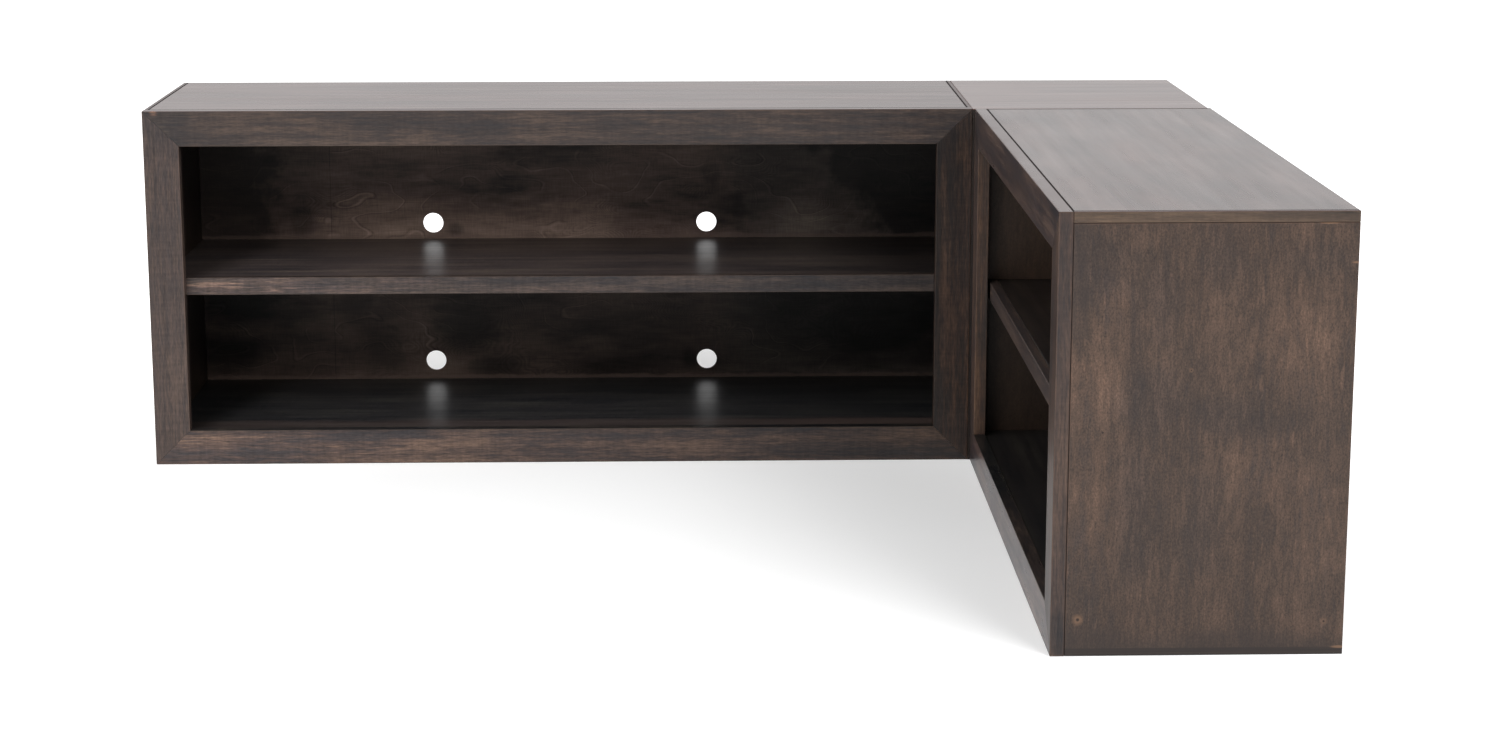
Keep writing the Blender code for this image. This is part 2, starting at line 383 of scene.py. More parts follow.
def painted_shade_marks(high, below, above):
    """A board painted darker below a level than above it: painted shade low down,
    painted light higher up.
    """

    def marks(net, place, p, colour, tones):
        over = net.step(net.parts(place)[2], high - LEVEL_BLUR, high + LEVEL_BLUR)
        return net.shade(colour, net.scaled(over, above - below, below))

    return marks


def ledge_marks(gain, corner_shade_gain):
    """The bottom rail's upper face, as dark as the floor behind it or darker.

    The second gain darkens the part of it near the corner, a painted shade.
    """

    def marks(net, place, p, colour, tones):
        _, y, z = net.parts(place)
        ledge = net.step(z, *LEDGE_LEVELS)
        colour = net.mix(ledge, colour, gain, "MULTIPLY")
        far = net.math("MULTIPLY", ledge, net.step(y, *LEDGE_CORNER_SHADE))
        return net.mix(far, colour, corner_shade_gain, "MULTIPLY")

    return marks


def ragged_edge(net, p):
    """A small wander for the border of a mark that runs along the grain."""
    return net.scaled(net.noise(p, (6, 60, 60), 3.0, 0.6), 0.012, -0.006)


def rim_marks(gain):
    """Darker along a bottom rail's upper edge."""

    def marks(net, place, p, colour, tones):
        high = net.sum(net.parts(place)[2], ragged_edge(net, p))
        return net.mix(net.step(high, *RIM_LEVELS), colour, gain, "MULTIPLY")

    return marks


def lip_marks(edge, width, gain):
    """Darker along a stile's edge at the opening."""

    def marks(net, place, p, colour, tones):
        across = net.sum(net.parts(place)[0], ragged_edge(net, p))
        near = net.step(across, edge + width, edge + width * 0.4)
        return net.mix(near, colour, gain, "MULTIPLY")

    return marks


def reveal_highlight_marks(edge, gain):
    """A stile's narrow edge in the opening, painted paler: a painted highlight on its
    face and arris.
    """

    def marks(net, place, p, colour, tones):
        near = net.step(net.parts(place)[1], *(edge + width for width in REVEAL_EDGE))
        return net.mix(near, colour, gain, "MULTIPLY")

    return marks


# The left console's shelf and floor.
BAND_DEPTH = (0.515, 0.490)
BAND_RISE = (0.1, 0.4)
LEFT_END_SHADOW = (-1.00, -1.10)


def board_marks(end_shade, left_band, right_band):
    """A painted shadow slanting across the left end, and a paler, redder front edge of
    two strengths.
    """

    def marks(net, place, p, colour, tones):
        x, y, _ = net.parts(place)
        soft = net.scaled(net.noise(p, (5, 20, 20), 2.0), 0.06, -0.03)
        near = net.step(net.sum(y, soft), *BAND_DEPTH)
        band = net.scaled(net.step(x, *BAND_RISE), right_band - left_band, left_band)
        colour = net.mix(net.math("MULTIPLY", near, band), colour, BAND_TINT)
        # Painted shadow of the left stile, slanting back across the left end.
        slanted = net.sum(net.scaled(y, -0.30, 0.13), x, soft)
        dark = net.step(slanted, *LEFT_END_SHADOW)
        return net.shade(colour, net.scaled(dark, -end_shade, 1.0))

    return marks


# The backs. Rows of clouds: x, z, reach on x, reach on z, amount. Besides stain, the
# darkest rows, at the lower bay's ends and the upper bay's top right, paint shadow, and
# the pale rows low in the upper bay paint pools of light.
BACK_UPPER = [
    (-1.038, 0.478, 0.050, 0.032, 0.25),
    (-0.898, 0.606, 0.075, 0.045, -0.25),
    (-0.497, 0.575, 0.030, 0.065, -0.20),
    (-0.882, 0.465, 0.024, 0.050, -0.50),
    (-0.525, 0.431, 0.018, 0.014, -0.50),
    (-0.700, 0.460, 0.160, 0.060, 0.45),
    (-0.368, 0.451, 0.140, 0.055, 0.50),
    (-0.218, 0.452, 0.090, 0.050, 0.45),
    (0.200, 0.700, 0.180, 0.065, -0.50),
    (0.469, 0.486, 0.085, 0.035, 0.25),
    (0.073, 0.563, 0.022, 0.030, -0.40),
    (0.287, 0.459, 0.060, 0.045, 0.45),
    (0.139, 0.488, 0.014, 0.045, -0.40),
]
BACK_LOWER = [
    (-1.025, 0.260, 0.160, 0.055, -0.95),
    (-1.075, 0.138, 0.095, 0.045, -0.80),
    (-0.988, 0.189, 0.070, 0.022, 0.30),
    (-0.765, 0.250, 0.055, 0.034, -0.45),
    (-0.832, 0.197, 0.090, 0.042, 0.45),
    (-0.697, 0.138, 0.045, 0.050, -0.45),
    (-0.613, 0.191, 0.055, 0.045, 0.35),
    (-0.496, 0.206, 0.072, 0.060, -0.75),
    (-0.431, 0.105, 0.055, 0.024, -0.60),
    (-0.356, 0.156, 0.085, 0.034, 0.35),
    (-0.548, 0.106, 0.065, 0.026, 0.40),
    (-0.213, 0.160, 0.060, 0.030, 0.35),
    (-0.150, 0.101, 0.090, 0.022, -0.50),
    (0.021, 0.118, 0.018, 0.022, -0.60),
    (0.174, 0.108, 0.105, 0.034, 0.25),
    (0.270, 0.230, 0.110, 0.090, -0.70),
    (0.460, 0.215, 0.200, 0.100, -0.80),
    (0.445, 0.087, 0.150, 0.014, 0.70),
]
REAR_SKIN = 0.002
REAR_CALM = 0.65
REAR_SHADE = 0.66
UPPER_BAY = (0.385, 0.395)
BACK_LEFT_SHADOW = (-0.925, -0.975)
BACK_RIGHT_SHADOW = (0.36, 0.42)
BACK_SHADOW_STRENGTH = 0.72
SEAM_PLACE = -0.8144
SEAM_EDGE = (0.0016, 0.0004)
SEAM_STRENGTH = 0.4
UPPER_SHADE_RISE = (0.73, 0.42)
UPPER_SHADE_RAMP = (0.85, 0.48)
LOWER_BAY_SHADE = 0.55
PAINTED_LIGHT_PATCH = ((-0.92, -0.80), (-0.42, -0.54))
PAINTED_LIGHT_GAIN = 0.30
CENTRE_LIGHT_PATCH = ((-0.56, -0.44), (0.12, 0.0))
CENTRE_LIGHT_GAIN = (0.24, 0.04)
RIGHT_SHADE_PART = (0.02, 0.20)
RIGHT_SHADE_TINT = (0.66, 0.75, 0.80, 1.0)
FOOT_BAND_LEVELS = (0.410, 0.073)
FOOT_BAND_REACH = 0.011
FOOT_BAND_STRENGTH = 0.40


def rear_face(net, place, name, axis, front, colour, tones):
    """A back panel whose rear face is plainer and darker than its front."""
    low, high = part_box(name)
    plain = net.shade(net.mix(REAR_CALM, colour, tones[BROWN]), REAR_SHADE)
    through = net.parts(place)[axis]
    rear = net.step(through, low[axis] + REAR_SKIN, high[axis] - REAR_SKIN)
    return net.mix(rear, front, plain)


def right_back_marks(net, place, p, colour, tones):
    """The right console's back panel, plain on both faces."""
    return rear_face(net, place, "right_back_panel", 0, colour, colour, tones)


def left_back_marks(net, place, p, colour, tones):
    """Clouds, painted shadow at the ends and on the right, painted shade by height,
    painted light in the middle, a seam in the veneer, and a paler band at each foot.
    """
    bare = colour
    colour = clouds(net, place, colour, tones, face_clouds(BACK_UPPER + BACK_LOWER))
    x, _, z = net.parts(place)
    ragged = net.scaled(net.noise(place, (14, 14, 14), 4.0, 0.6), 0.20, -0.10)
    upper = net.step(z, *UPPER_BAY)
    # Painted shadow: the upper bay's two ends turned towards slate, the right one along
    # a slant.
    left_shadow = net.step(net.sum(x, ragged), *BACK_LEFT_SHADOW)
    slanted = net.sum(net.scaled(z, 0.85, -0.45), x, ragged)
    right_shadow = net.step(slanted, *BACK_RIGHT_SHADOW)
    ends = net.math("MULTIPLY", net.math("MAXIMUM", left_shadow, right_shadow), upper)
    colour = net.mix(net.scaled(ends, BACK_SHADOW_STRENGTH), colour, tones[SLATE])
    seam = net.step(net.away(x, SEAM_PLACE), *SEAM_EDGE)
    colour = net.mix(net.scaled(seam, SEAM_STRENGTH), colour, tones[SLATE])
    # Painted shade: the upper bay darker towards its top, under the rail, and the whole
    # lower bay darker.
    rise = net.step(z, *UPPER_SHADE_RISE)
    level = net.sum(
        net.math("MULTIPLY", upper, net.scaled(rise, *UPPER_SHADE_RAMP)),
        net.math("MULTIPLY", net.scaled(upper, -1.0, 1.0), LOWER_BAY_SHADE),
    )
    # Painted light: the middle of the back made paler, more so in the upper bay.
    bright = net.scaled(net.within(x, *PAINTED_LIGHT_PATCH), PAINTED_LIGHT_GAIN, 1.0)
    centre = net.within(x, *CENTRE_LIGHT_PATCH)
    centre = net.math("MULTIPLY", centre, net.scaled(upper, *CENTRE_LIGHT_GAIN))
    level = net.math("MULTIPLY", level, net.sum(bright, centre))
    colour = net.shade(colour, level)
    # Painted shade: the right part of the back darkened, next to the right console.
    right = net.step(net.sum(x, ragged), *RIGHT_SHADE_PART)
    colour = net.mix(right, colour, RIGHT_SHADE_TINT, "MULTIPLY")
    # A paler band along the foot of each bay.
    torn = net.noise(p, (18, 60, 60), 3.0, 0.6)
    for foot in FOOT_BAND_LEVELS:
        up = net.sum(net.away(z, foot), net.scaled(torn, 0.02, -0.01))
        band = net.step(up, FOOT_BAND_REACH, FOOT_BAND_REACH * 0.5)
        colour = net.mix(net.scaled(band, FOOT_BAND_STRENGTH), colour, tones[TAN])
    return rear_face(net, place, "left_back_panel", 1, colour, bare, tones)


# The right console's near end. Rows of clouds as for the backs.
END_CLOUDS = [
    (0.700, 0.690, 0.060, 0.060, -0.45),
    (0.815, 0.630, 0.028, 0.075, -0.40),
    (0.915, 0.700, 0.040, 0.045, -0.35),
    (0.800, 0.450, 0.045, 0.070, -0.45),
    (0.940, 0.425, 0.070, 0.038, -0.45),
    (0.780, 0.265, 0.035, 0.120, -0.45),
    (0.890, 0.240, 0.030, 0.070, -0.35),
    (1.080, 0.700, 0.060, 0.035, -0.30),
    (0.732, 0.600, 0.028, 0.060, 0.35),
    (0.700, 0.470, 0.045, 0.060, 0.35),
    (0.695, 0.260, 0.040, 0.110, 0.35),
    (0.990, 0.330, 0.055, 0.060, 0.35),
    (1.070, 0.550, 0.070, 0.080, 0.35),
    (1.090, 0.240, 0.045, 0.100, 0.30),
]
END_KNOTS = (  # place, radius, strength of the pale halo
    ((0.7201, -0.9146, 0.3972), 0.0026, 0.0),
    ((0.6848, -0.9146, 0.0655), 0.0040, 0.5),
    ((1.1109, -0.9146, 0.0595), 0.0028, 0.3),
    ((0.868, -0.9146, 0.505), 0.0018, 0.3),
)
HALO_WIDTH = 3.2
KNOT_STRENGTH = 0.9
END_RUBS = (  # place, radius
    ((1.094, -0.9146, 0.7585), 0.022),
    ((0.7191, -0.9146, 0.7600), 0.009),
    ((1.1459, -0.9146, 0.690), 0.016),
    ((1.140, -0.9146, 0.0135), 0.020),
)
RUB_REACH = (1, 1, 1 / 6)
RUB_STRENGTH = 0.6
BASE_STRIP = (0.0142, 0.0132)
BASE_GRAIN = (0.44, 0.68)
BASE_SHADE = 0.40
BASE_DARKENING = (0.055, 0.015)
BASE_DARKENING_STRENGTH = 0.55
LET_IN = ((0.6912, 0.6905), (0.5600, 0.5606))
LET_IN_STRENGTH = 0.35


def end_marks(net, place, p, colour, tones):
    """Clouds, grain along the base, darker towards the bottom, small knots, a let-in
    patch and rubbed edges.
    """
    colour = clouds(net, place, colour, tones, face_clouds(END_CLOUDS))
    x, _, z = net.parts(place)
    base = net.step(z, *BASE_STRIP)
    grain = net.step(net.noise(place, (5, 40, 420), 3.0, 0.6), *BASE_GRAIN)
    strip = net.mix(grain, tones[SLATE], tones[BROWN])
    strip = net.shade(strip, net.scaled(base, -BASE_SHADE, 1.0))
    colour = net.mix(base, colour, strip)
    # Darker towards the bottom.
    ragged = net.scaled(net.noise(place, (9, 9, 9), 4.0, 0.6), 0.10, -0.05)
    low = net.scaled(net.step(net.sum(z, ragged), *BASE_DARKENING), BASE_DARKENING_STRENGTH)
    colour = net.mix(low, colour, tones[SLATE])
    for centre, radius, halo in END_KNOTS:
        if halo:
            glow = spot(net, place, centre, radius * HALO_WIDTH, 0.2)
            colour = net.mix(net.scaled(glow, halo), colour, RUBBED)
        dot = net.scaled(spot(net, place, centre, radius), KNOT_STRENGTH)
        colour = net.mix(dot, colour, DARK_GROOVE)
    patch = net.math("MULTIPLY", net.step(x, *LET_IN[0]), net.step(z, *LET_IN[1]))
    colour = net.mix(net.scaled(patch, LET_IN_STRENGTH), colour, tones[SLATE])
    for centre, radius in END_RUBS:
        rub = net.step(far_from(net, place, centre, RUB_REACH), radius, radius * 0.4)
        colour = net.mix(net.scaled(rub, RUB_STRENGTH), colour, RUBBED)
    return colour


# ---------------------------------------------------------------- wood materials

LACQUER_IOR = 1.48
BUMP_DEPTH = 0.0004
EDGE_WEAR = (0.0022, 0.0004)
PLAIN = {  # what a board's look has where it says nothing else
    "tint": (1.0, 1.0, 1.0),
    "contrast": 1.0,
    "shares": (0.34, 0.36, 0.30),
    "dash": (24, 250, 250),
    "fine": 1.0,
    "rings": 1.0,
    "fade": None,
    "worn": 0.45,
    "marks": [],
    "grooves": [],
    "crown": False,
    "roughness": 0.38,
    "smear": ((7, 9, 9), 0.12),
    "bump": 0.35,
    "shine": 0.5,
}


def edge_distance(net, place, low, high):
    """How far a point on a face is from the nearest edge of the board's box."""
    to_low = net.vector("SUBTRACT", place, low)
    to_high = net.vector("SUBTRACT", high, place)
    x, y, z = net.parts(net.vector("MINIMUM", to_low, to_high))
    least = net.math("MINIMUM", net.math("MINIMUM", x, y), z)
    most = net.math("MAXIMUM", net.math("MAXIMUM", x, y), z)
    return net.math("SUBTRACT", net.math("SUBTRACT", net.sum(x, y, z), least), most)


def groove_mask(net, place, low, high, grooves):
    """1 close to the sides of the board's box along which V-grooves run."""
    parts = net.parts(place)
    mask = 0.0
    for side, width, depth in grooves:
        axis = "xyz".index(side[1])
        plane = (high if side[0] == "+" else low)[axis]
        line = net.step(net.away(parts[axis], plane), width, width * 0.6)
        mask = net.math("MAXIMUM", mask, net.scaled(line, depth))
    return mask


def wood(node, look, seed):
    """One board's own stained and lacquered wood, its grain along its first axis."""
    look = {**PLAIN, **look}
    tones = look["tones"] = [
        tuple(v * t for v, t in zip(tone, look["tint"])) + (1.0,)
        for tone in look["tones"]
    ]
    material = bpy.data.materials.new("wood_" + node)
    material.use_nodes = True
    net = Net(material.node_tree)
    shader = net.tree.nodes["Principled BSDF"]
    low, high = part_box(node)
    middle = (low + high) / 2
    place = net.add("TexCoord").outputs["Object"]
    parts = net.parts(net.vector("SUBTRACT", place, middle))
    local = net.joined(*(parts["xyz".index(axis)] for axis in look["axes"]))
    shift = (seed * 3.71 % 17.0, seed * 1.93 % 11.0 + 3.0, seed * 2.57 % 7.0 + 1.0)
    p = net.vector("ADD", local, shift)
    colour, tone, height = look["pattern"](net, p, local, look)
    # Painted shade: the board lighter at one end than at the other, as the light falls
    # off across it.
    if look["fade"]:
        first, last = look["fade"]
        slope = (last - first) / (2 * max(high - middle))
        share = net.scaled(net.parts(local)[0], slope, (first + last) / 2)
        colour = net.shade(colour, share)
    rub = net.scaled(net.noise(p, (35, 35, 35), 3.0, 0.6), 0.006, -0.0035)
    edge = net.step(net.sum(edge_distance(net, place, low, high), rub), *EDGE_WEAR)
    colour = net.mix(net.scaled(edge, look["worn"]), colour, tones[TAN])
    for marks in look["marks"]:
        colour = marks(net, place, p, colour, tones)
    stretch, spread = look["smear"]
    smear = net.noise(p, stretch, 3.0, 0.6)
    rough = net.sum(
        net.scaled(smear, spread, look["roughness"] - spread / 2),
        net.scaled(tone, -0.08, 0.04),
        net.scaled(edge, 0.10),
    )
    if look["grooves"]:
        groove = groove_mask(net, place, low, high, look["grooves"])
        colour = net.mix(groove, colour, DARK_GROOVE)
        rough = net.math("MAXIMUM", rough, net.scaled(groove, 0.9))
    if look["crown"]:
        crown = net.step(net.parts(place)[2], *CROWN_LEVELS)
        height = net.math("MULTIPLY", height, net.scaled(crown, -1.0, 1.0))
        rough = net.math("MULTIPLY", rough, net.scaled(crown, -0.05, 1.0))
    bump = net.add(
        "Bump", {"Strength": look["bump"], "Distance": BUMP_DEPTH, "Height": height}
    )
    net.feed(shader.inputs["Base Color"], colour)
    net.feed(shader.inputs["Roughness"], rough)
    net.feed(shader.inputs["Normal"], bump.outputs[0])
    shader.inputs["IOR"].default_value = LACQUER_IOR
    shader.inputs["Specular IOR Level"].default_value = look["shine"]
    return material


# ---------------------------------------------------------------- looks of the boards


def stain_tones(slate, brown, tan):
    """The three stain colours, without alpha."""
    return [linear(code)[:3] for code in (slate, brown, tan)]


FRAME = {"pattern": sawn, "tones": stain_tones("29272a", "3b3230", "55473f")}
END = {
    "pattern": sliced,
    "tones": stain_tones("302a29", "40342d", "5c4a3f"),
    "roughness": 0.42,
}
TOP = {
    "pattern": sawn,
    "tones": stain_tones("3b2e2e", "4b3937", "5e4945"),
    "roughness": 0.27,
    "bump": 0.0,
    "fine": 0.08,
    "rings": 0.1,
    "dash": (2, 60, 60),
    "shares": (0.40, 0.20, 0.40),
    "contrast": 0.7,
    "worn": 0.2,
    "smear": ((0.8, 14, 14), 0.06),
}
BAND = {
    "pattern": sawn,
    "tones": stain_tones("383029", "4a3c32", "614f40"),
    "shares": (0.30, 0.25, 0.45),
}
SHELF = {
    "pattern": sawn,
    "tones": stain_tones("2c2828", "413734", "54483f"),
    "roughness": 0.33,
    "bump": 0.12,
    "dash": (3, 85, 85),
    "shares": (0.34, 0.44, 0.22),
}
SIDE = {
    "pattern": sliced,
    "tones": stain_tones("292320", "3a302a", "4a3d34"),
    "roughness": 0.42,
}
BACK = {
    "pattern": rotary,
    "tones": stain_tones("1b1919", "5a4942", "786358"),
    "roughness": 0.5,
    "shine": 0.25,
    "contrast": 0.8,
}
TOP_GROOVE = (0.0023, 1.0)  # width and strength
END_GROOVE = (0.0011, 0.8)
END_SEAM = (0.0012, 0.6)

# The axes are the board's own: along the grain, across it, and through the board.
LOOKS = {
    "corner_top_panel": dict(TOP, axes="xyz", marks=[skirt_marks]),
    "corner_back_board": dict(END, axes="zxy"),
    "corner_end_board": dict(END, axes="zyx"),
    "corner_inner_board_left": dict(SIDE, axes="zyx"),
    "corner_inner_board_front": dict(SIDE, axes="zxy"),
}
for side, run, deep in (("left", "x", "y"), ("right", "y", "x")):
    level, upright = run + "z" + deep, "z" + run + deep
    flat, standing = run + deep + "z", "z" + deep + run
    behind, before = ("+" + deep, *END_GROOVE), ("-" + deep, *END_GROOVE)
    top_behind, top_before = ("+" + deep, *TOP_GROOVE), ("-" + deep, *TOP_GROOVE)
    low_end, high_end = ("-" + run, *TOP_GROOVE), ("+" + run, *TOP_GROOVE)
    for name, kind, axes, grooves in (
        ("frame_top_rail", FRAME, level, [top_behind]),
        ("frame_bottom_rail", FRAME, level, []),
        ("frame_stile_outer", FRAME, upright, [behind]),
        ("frame_stile_inner", FRAME, upright, [behind]),
        ("shelf_nosing", FRAME, level, []),
        ("side_outer", SIDE, standing, []),
        ("side_inner", SIDE, standing, []),
        ("end_panel_outer", END, standing, [before]),
        ("end_panel_inner", END, standing, [before]),
        ("bottom_panel", SHELF, flat, []),
        ("shelf_panel", SHELF, flat, []),
        ("back_panel", BACK, level, []),
        ("top_panel", TOP, flat, [top_before, low_end, high_end]),
        ("top_strip_outer", BAND, deep + "z" + run, [high_end]),
        ("top_strip_inner", BAND, deep + "z" + run, [low_end]),
    ):
        LOOKS[side + "_" + name] = dict(kind, axes=axes, grooves=grooves, marks=[])

MITRE_INSET = 0.03
MITRED = {  # members on which the gathered stain shows
    "left": ("top_rail", "bottom_rail", "stile_outer", "stile_inner"),
    "right": ("top_rail", "bottom_rail", "stile_inner"),
}


def frame_corners(side):
    """Middle of each darkened mitre: the left frame's upper two, the right's four."""
    low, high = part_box(side + "_frame_top_rail")
    heights = [high.z - MITRE_INSET]
    if side == "right":
        heights.append(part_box(side + "_frame_bottom_rail")[0].z + MITRE_INSET)
        across = [(low.x, low.y + MITRE_INSET), (low.x, high.y - MITRE_INSET)]
    else:
        across = [(low.x + MITRE_INSET, low.y), (high.x - MITRE_INSET, low.y)]
    return [(x, y, z) for x, y in across for z in heights]


for side, members in MITRED.items():
    mitres = mitre_marks(frame_corners(side))
    for member in members:
        LOOKS[side + "_frame_" + member]["marks"].append(mitres)
    LOOKS[side + "_frame_top_rail"]["crown"] = True
    for name in ("frame_top_rail", "top_strip_outer", "top_strip_inner"):
        LOOKS[side + "_" + name]["marks"].append(crown_marks)

LEFT_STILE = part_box("left_frame_stile_inner")[0]
RIGHT_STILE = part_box("right_frame_stile_inner")[0]
NEAR_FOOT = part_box("right_frame_stile_outer")[0]
NEAR_FOOT_DARKER = (NEAR_FOOT.x + 0.018, NEAR_FOOT.y, 0.03)
LEFT_FRONT = 0.4067
NOSING_FRONT = 0.4377
MARKS = {
    "left_frame_top_rail": [
        tinted_marks(
            [((-1.1215, LEFT_FRONT, 0.7745), (0.006, 0.01, 0.0035), RUBBED_CORNER, 0.6)]
        )
    ],
    "left_shelf_nosing": [
        tinted_marks(
            [
                ((-1.02, NOSING_FRONT, 0.384), (0.100, 0.02, 0.013), FLAME, 0.55),
                ((-0.90, NOSING_FRONT, 0.396), (0.140, 0.02, 0.010), FLAME, 0.60),
                ((-0.76, NOSING_FRONT, 0.380), (0.100, 0.02, 0.008), FLAME, 0.55),
                ((-0.60, NOSING_FRONT, 0.400), (0.100, 0.02, 0.007), FLAME, 0.35),
                ((-0.30, NOSING_FRONT, 0.380), (0.200, 0.02, 0.008), FLAME, 0.15),
            ]
        )
    ],
    "left_frame_bottom_rail": [
        # Painted light: the bottom rail made paler towards its left end.
        tinted_marks([((-0.88, LEFT_FRONT, 0.042), (0.26, 0.02, 0.036), RAIL_PAINTED_LIGHT, 0.6)]),
        rim_marks((0.80, 0.81, 0.83, 1.0)),
        ledge_marks((0.46, 0.60, 0.67, 1.0), SAME),
        cloud_marks([((0.56, 0.0, 0.04), (0.10, 0.0, 0.05), 0.40)]),
    ],
    "left_frame_stile_inner": [
        lip_marks(LEFT_STILE.x, 0.014, (0.70, 0.80, 0.86, 1.0)),
        cloud_marks(
            [
                ((0.592, 0.0, 0.60), (0.020, 0.0, 0.11), -0.40),
                ((0.606, 0.0, 0.13), (0.040, 0.0, 0.13), 0.45),
            ]
        ),
    ],
    "left_back_panel": [left_back_marks],
    "left_shelf_panel": [board_marks(0.45, 0.0, 0.0)],
    "left_bottom_panel": [board_marks(0.60, 0.28, 0.52)],
    "right_frame_bottom_rail": [
        ledge_marks((0.52, 0.62, 0.60, 1.0), (0.45, 0.60, 0.66, 1.0))
    ],
    "right_frame_stile_inner": [reveal_highlight_marks(RIGHT_STILE.y, (1.45, 1.35, 1.16, 1.0))],
    # Darker at the near stile's foot.
    "right_frame_stile_outer": [
        cloud_marks([(NEAR_FOOT_DARKER, (0.022, 0.05, 0.045), -0.6)])
    ],
    "right_back_panel": [right_back_marks],
    "right_side_inner": [painted_shade_marks(0.40, 0.80, 1.18)],
    "right_end_panel_outer": [end_marks],
}
for name, marks in MARKS.items():
    LOOKS[name]["marks"] += marks
LOOKS["right_end_panel_outer"]["grooves"].append(("+z", *END_SEAM))

FITTED = {  # each board's own stain and gloss, fitted to the photo; the darkest tints, on the stile facing the corner and on boards inside the bays and the corner, also paint shade, and the palest, on the corner top, the left shelf and the right frame, also paint reflection
    "left_frame_top_rail": dict(tint=(0.98, 0.94, 0.88), fine=1.4, roughness=0.31),
    "left_frame_bottom_rail": dict(
        tint=(1.19, 1.08, 1.00), fine=1.7, contrast=1.3, fade=(1.45, 0.76)
    ),
    "left_frame_stile_outer": dict(
        tint=(1.30, 1.22, 1.14), contrast=0.60, fine=1.6, shares=(0.24, 0.52, 0.24)
    ),
    "left_frame_stile_inner": dict(
        tint=(0.80, 0.62, 0.50), fine=2.0, contrast=1.5, fade=(1.18, 0.90), worn=0.2
    ),
    "left_shelf_nosing": dict(tint=(0.86, 0.87, 0.88), fine=2.1, fade=(1.15, 0.85)),
    "left_back_panel": dict(tint=(1.0, 1.06, 1.10)),
    "left_side_outer": dict(tint=(0.40, 0.40, 0.40)),
    "left_side_inner": dict(tint=(0.40, 0.40, 0.40)),
    "left_shelf_panel": dict(tint=(1.33, 1.45, 1.57), fine=1.5, fade=(1.38, 0.48)),
    "left_bottom_panel": dict(
        tint=(0.54, 0.73, 0.86), fine=1.8, fade=(1.1, 0.85), roughness=0.36
    ),
    "left_top_panel": dict(tint=(1.07, 0.94, 0.92)),
    "right_frame_top_rail": dict(
        tint=(1.28, 1.21, 1.19), fine=1.6, shares=(0.40, 0.36, 0.24), roughness=0.30
    ),
    "right_frame_bottom_rail": dict(
        tint=(1.42, 1.25, 1.30), fine=1.4, contrast=1.4, roughness=0.29
    ),
    "right_frame_stile_inner": dict(tint=(1.55, 1.38, 1.25), worn=0.1),
    "right_frame_stile_outer": dict(tint=(1.14, 0.98, 0.86), fine=1.4),
    "right_side_inner": dict(tint=(1.10, 1.03, 0.97), contrast=0.5),
    "right_shelf_panel": dict(tint=(0.37, 0.40, 0.42)),
    "right_bottom_panel": dict(tint=(0.28, 0.36, 0.42)),
    "right_end_panel_outer": dict(tint=(1.04, 0.97, 0.92), fine=2.3, contrast=0.75),
    "right_top_strip_outer": dict(tint=(0.93, 0.93, 0.94)),
    "right_top_panel": dict(
        shares=(0.15, 0.15, 0.70), smear=((2.5, 6, 6), 0.07), roughness=0.26
    ),
    "corner_top_panel": dict(tint=(1.38, 1.24, 1.20), roughness=0.24),
    "corner_inner_board_left": dict(tint=(0.40, 0.38, 0.38)),
}
for name, settings in FITTED.items():
    LOOKS[name].update(settings)

for seed, name in enumerate(sorted(LOOKS), 1):
    finish = wood(name, LOOKS[name], seed)
    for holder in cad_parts[name].material_slots:
        holder.material = finish

# ---------------------------------------------------------------- floor and light

FLOOR_SIZE = 60.0
FLOOR_DROP = 0.0005
FLOOR_WHITE = 0.82
FLOOR_GLOW_NEAR = 0.25
FLOOR_GLOW_FAR = 0.95
FLOOR_GLOW_GLOSSY = 0.15
FLOOR_NEAR = (-0.1, -0.35, 0.0)
FLOOR_NEAR_REACH = (2.2, 0.7)
BEHIND_DEPTH = ((0.88, 0.94), (2.4, 1.4))
BEHIND_REACH = (1.12, 0.75)
AMBIENT = 0.42
FRONT_GLOSS = 0.15
GLOSS_BORDER = (-0.2, 0.2)
LAMPS = (  # name, place, aim, size, share of plain level
    ("key_lamp", (3.4, -4.6, 4.4), (0.2, 0.0, 0.3), 3.2, 0.60),
    ("fill_lamp", (-3.4, -4.6, 4.4), (-0.2, 0.0, 0.3), 3.2, 0.30),
    ("side_lamp", (-5.2, -1.0, 2.6), (0.0, 0.0, 0.4), 3.0, 0.45),
    ("rear_lamp", (0.0, 4.6, 4.4), (0.0, 0.0, 0.3), 3.6, 0.12),
)


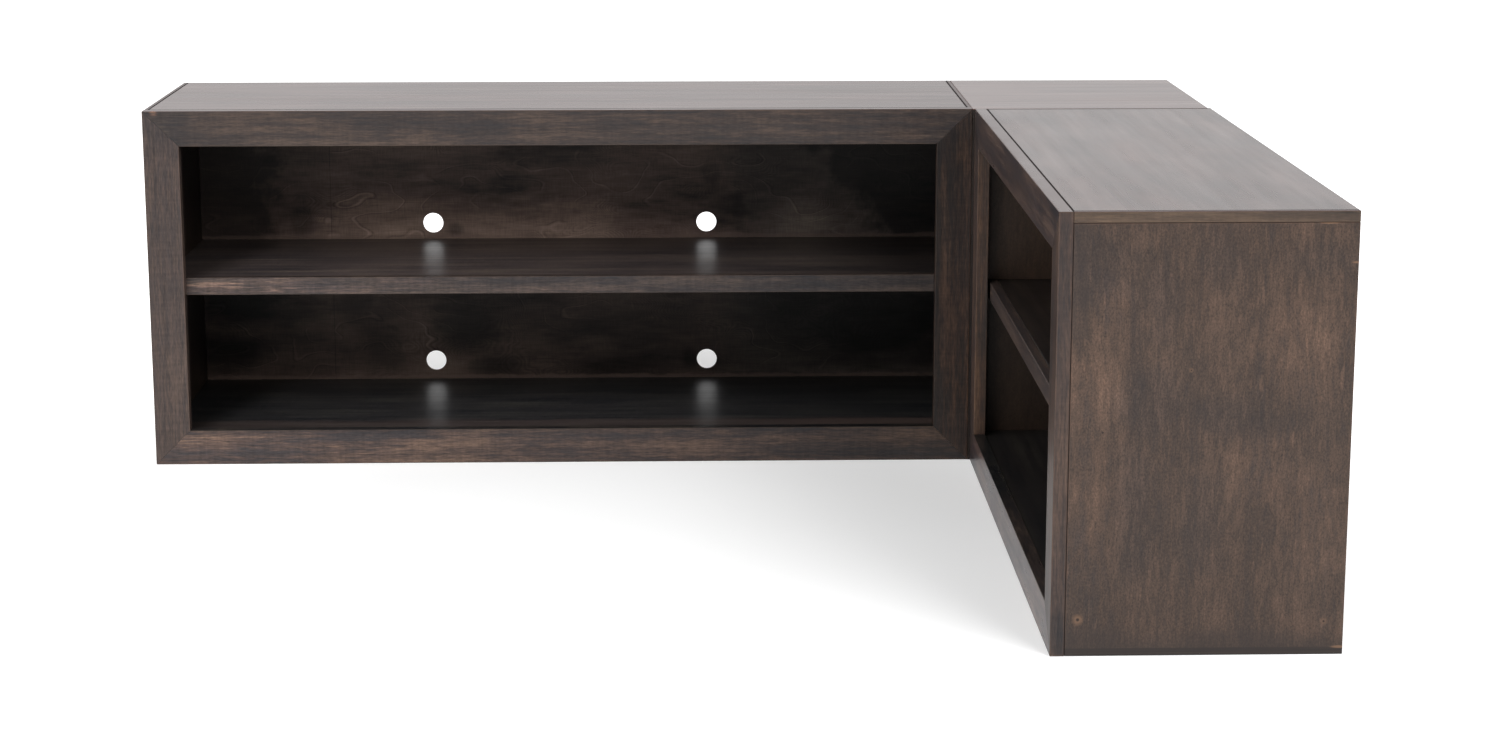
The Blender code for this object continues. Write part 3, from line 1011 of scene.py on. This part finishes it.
def make_floor():
    """White paper, lit up more away from the object: it is white and keeps a shadow."""
    mesh = bpy.data.meshes.new("studio_floor")
    h = FLOOR_SIZE / 2
    mesh.from_pydata(
        [(-h, -h, 0), (h, -h, 0), (h, h, 0), (-h, h, 0)], [], [(0, 1, 2, 3)]
    )
    floor = bpy.data.objects.new("studio_floor", mesh)
    bpy.context.scene.collection.objects.link(floor)
    floor.location.z = -FLOOR_DROP
    material = bpy.data.materials.new("studio_floor")
    material.use_nodes = True
    net = Net(material.node_tree)
    net.tree.nodes.remove(net.tree.nodes["Principled BSDF"])
    paper = net.add(
        "BsdfDiffuse", {"Color": (FLOOR_WHITE, FLOOR_WHITE, FLOOR_WHITE, 1)}
    )
    place = net.add("TexCoord").outputs["Object"]
    x, y, _ = net.parts(place)
    aside = net.step(net.math("ABSOLUTE", x), *BEHIND_REACH)
    behind = net.math("MULTIPLY", net.within(y, *BEHIND_DEPTH), aside)
    around = net.step(net.distance(place, FLOOR_NEAR), *FLOOR_NEAR_REACH)
    near = net.math("MAXIMUM", around, behind)
    direct = net.scaled(near, FLOOR_GLOW_NEAR - FLOOR_GLOW_FAR, FLOOR_GLOW_FAR)
    path = net.add("LightPath").outputs
    strength = net.sum(
        net.math("MULTIPLY", direct, path["Is Camera Ray"]),
        net.scaled(path["Is Glossy Ray"], FLOOR_GLOW_GLOSSY),
        net.scaled(path["Is Transmission Ray"], FLOOR_GLOW_NEAR),
    )
    glow = net.add("Emission", {"Strength": strength})
    both = net.add("AddShader", {0: paper.outputs[0], 1: glow.outputs[0]})
    net.feed(net.tree.nodes["Material Output"].inputs[0], both.outputs[0])
    mesh.materials.append(material)


def make_world():
    """White where seen directly, soft even light, and a brighter rear for gloss."""
    world = bpy.data.worlds.new("studio")
    world.use_nodes = True
    bpy.context.scene.world = world
    net = Net(world.node_tree)
    path = net.add("LightPath").outputs
    seen = net.math("MAXIMUM", path["Is Camera Ray"], path["Is Transmission Ray"])
    way = net.parts(net.add("TexCoord").outputs["Generated"])
    gloss = net.scaled(net.step(way[1], *GLOSS_BORDER), 1 - FRONT_GLOSS, FRONT_GLOSS)
    extra = net.scaled(gloss, 1.0, -AMBIENT)
    strength = net.sum(
        net.scaled(seen, 1 - AMBIENT, AMBIENT),
        net.math("MULTIPLY", path["Is Glossy Ray"], extra),
    )
    back = net.tree.nodes["Background"]
    back.inputs["Color"].default_value = (1, 1, 1, 1)
    net.feed(back.inputs["Strength"], strength)


def area_lamp(name, place, aim, size, share):
    """A soft square lamp without glare, giving its aim a share of plain level."""
    light = bpy.data.lights.new(name, "AREA")
    light.shape = "SQUARE"
    light.size = size
    way = Vector(aim) - Vector(place)
    light.energy = share * math.pi**2 * way.length_squared
    lamp = bpy.data.objects.new(name, light)
    bpy.context.scene.collection.objects.link(lamp)
    lamp.location = place
    lamp.rotation_euler = way.to_track_quat("-Z", "Y").to_euler()
    lamp.visible_glossy = False


make_floor()
make_world()
for lamp in LAMPS:
    area_lamp(*lamp)

# ---------------------------------------------------------------- camera

CAMERA_PLACE = (0.01033, -5.36396, 1.53734)
CAMERA_TURN = 0.0248
CAMERA_TILT = 0.19273
CAMERA_LENS = 65.01
CAMERA_SENSOR = 36.0
CAMERA_SHIFT = -0.06
CAMERA_REACH = 200.0

scene = bpy.context.scene
camera = bpy.data.objects.new("camera", bpy.data.cameras.new("camera"))
scene.collection.objects.link(camera)
camera.location = CAMERA_PLACE
camera.rotation_euler = (math.pi / 2 - CAMERA_TILT, 0.0, -CAMERA_TURN)
camera.data.sensor_width = CAMERA_SENSOR
camera.data.lens = CAMERA_LENS
camera.data.shift_y = CAMERA_SHIFT
camera.data.clip_end = CAMERA_REACH
scene.camera = camera
scene.view_settings.view_transform = "Standard"
